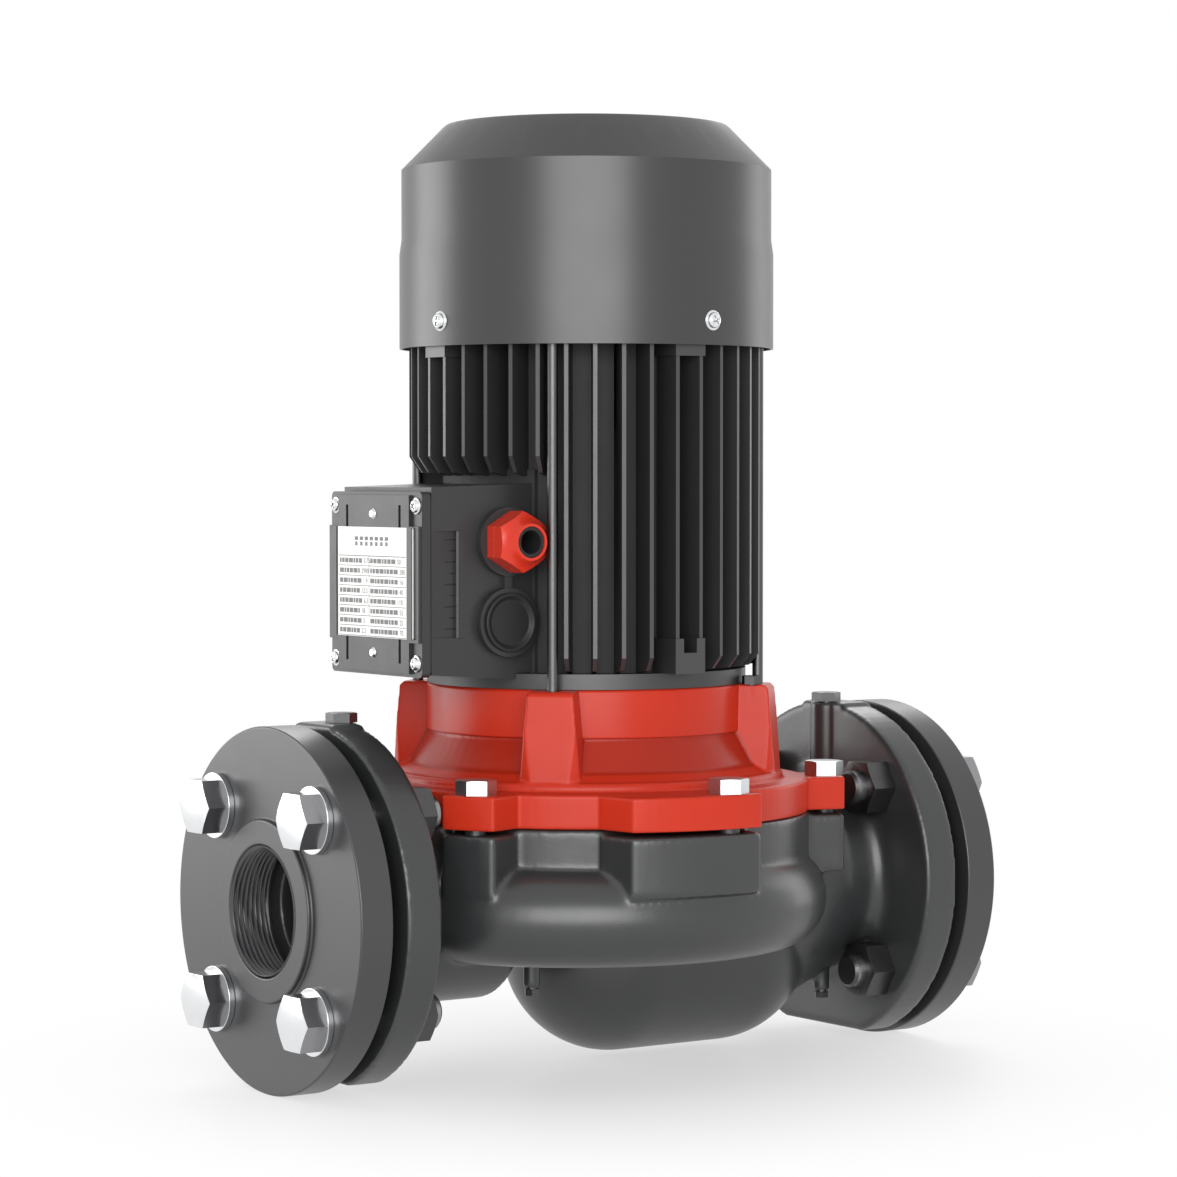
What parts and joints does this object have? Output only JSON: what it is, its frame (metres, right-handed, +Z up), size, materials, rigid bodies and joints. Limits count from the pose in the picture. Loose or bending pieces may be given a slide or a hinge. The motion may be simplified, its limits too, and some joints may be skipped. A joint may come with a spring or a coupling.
{
  "type": "water booster pump",
  "caption": "Inline water booster pump: flanged volute casing, red lantern bracket and upright finned motor with terminal box and fan cowl.",
  "frame": {"origin": "bottom centre of the bounding box: at floor level under the middle of the pipe run, halfway between the outer faces of the two counter flanges", "axes": "+Z up along the shaft towards the fan; +X along the pipe towards the inlet (suction) flange; -X towards the outlet flange and the terminal box; -Y is the side of the cable gland"},
  "size_m": [0.3804, 0.2444, 0.4403],
  "materials": {
    "dark_casting": "semi-gloss dark grey paint over castings",
    "machined_flange": "semi-gloss dark grey paint on turned faces",
    "red_casting": "semi-gloss orange-red paint",
    "cowl_sheet": "satin dark grey paint on sheet",
    "motor_aluminium": "satin dark grey paint on die-cast aluminium",
    "zinc": "bright zinc plate",
    "steel": "turned and ground steel",
    "brass": "machined brass",
    "rubber": "matt black rubber",
    "ceramic": "fine-ground ceramic",
    "copper": "varnished copper wire",
    "plate": "white printed aluminium plate",
    "red_plastic": "smooth orange-red moulded plastic",
    "dark_plastic": "matt dark moulded plastic",
    "board": "pale moulded board"
  },
  "bodies": {
    "pump": {"volute_casing": "dark_casting", "inlet_counter_flange": "machined_flange", "outlet_counter_flange": "machined_flange", "inlet_gasket": "rubber", "outlet_gasket": "rubber", "inlet_flange_bolts": "zinc", "outlet_flange_bolts": "zinc", "inlet_flange_washers": "zinc", "outlet_flange_washers": "zinc", "inlet_flange_nuts": "zinc", "outlet_flange_nuts": "zinc", "inlet_gauge_plug": "zinc", "outlet_gauge_plug": "zinc", "drain_plugs": "zinc", "casing_gasket": "rubber", "wear_ring": "brass", "motor_bracket": "red_casting", "casing_bolts": "zinc", "earth_screw": "zinc", "seal_seat": "ceramic", "lower_bearing_outer": "steel", "upper_bearing_outer": "steel", "wave_washer": "steel", "motor_frame": "motor_aluminium", "stator_core": "steel", "stator_windings": "copper", "top_end_shield": "motor_aluminium", "tie_bolts": "zinc", "fan_cowl": "cowl_sheet", "cowl_screws": "zinc", "terminal_box": "motor_aluminium", "terminal_box_gasket": "rubber", "terminal_box_cover": "motor_aluminium", "box_cover_screws": "zinc", "nameplate": "plate", "nameplate_rivets": "zinc", "gland_body": "red_plastic", "gland_seal": "rubber", "gland_cap": "red_plastic", "blanking_plug": "dark_plastic", "terminal_board": "board", "terminal_studs": "brass"},
    "rotor": {"shaft": "steel", "rotor_core": "steel", "impeller": "brass", "impeller_key": "steel", "impeller_washer": "zinc", "impeller_nut": "zinc", "seal_head": "rubber", "seal_spring": "steel", "water_slinger": "rubber", "lower_bearing_inner": "steel", "upper_bearing_inner": "steel", "cooling_fan": "dark_plastic", "fan_clip": "steel"},
    "lower_balls": {"lower_bearing_balls": "steel"},
    "upper_balls": {"upper_bearing_balls": "steel"}
  },
  "joints": [
    {"name": "rotor_spin", "type": "hinge", "parent": "pump", "child": "rotor", "pos_m": [-0.0047, 0, 0.3], "axis": [0, 0, 1], "continuous": true},
    {"name": "lower_balls_turn", "type": "hinge", "parent": "pump", "child": "lower_balls", "pos_m": [-0.0047, 0, 0.1675], "axis": [0, 0, 1], "continuous": true},
    {"name": "upper_balls_turn", "type": "hinge", "parent": "pump", "child": "upper_balls", "pos_m": [-0.0047, 0, 0.341], "axis": [0, 0, 1], "continuous": true}
  ],
  "couplings": [
    {"joint": "lower_balls_turn", "follows": "rotor_spin", "ratio": 0.3791},
    {"joint": "upper_balls_turn", "follows": "rotor_spin", "ratio": 0.3791}
  ]
}
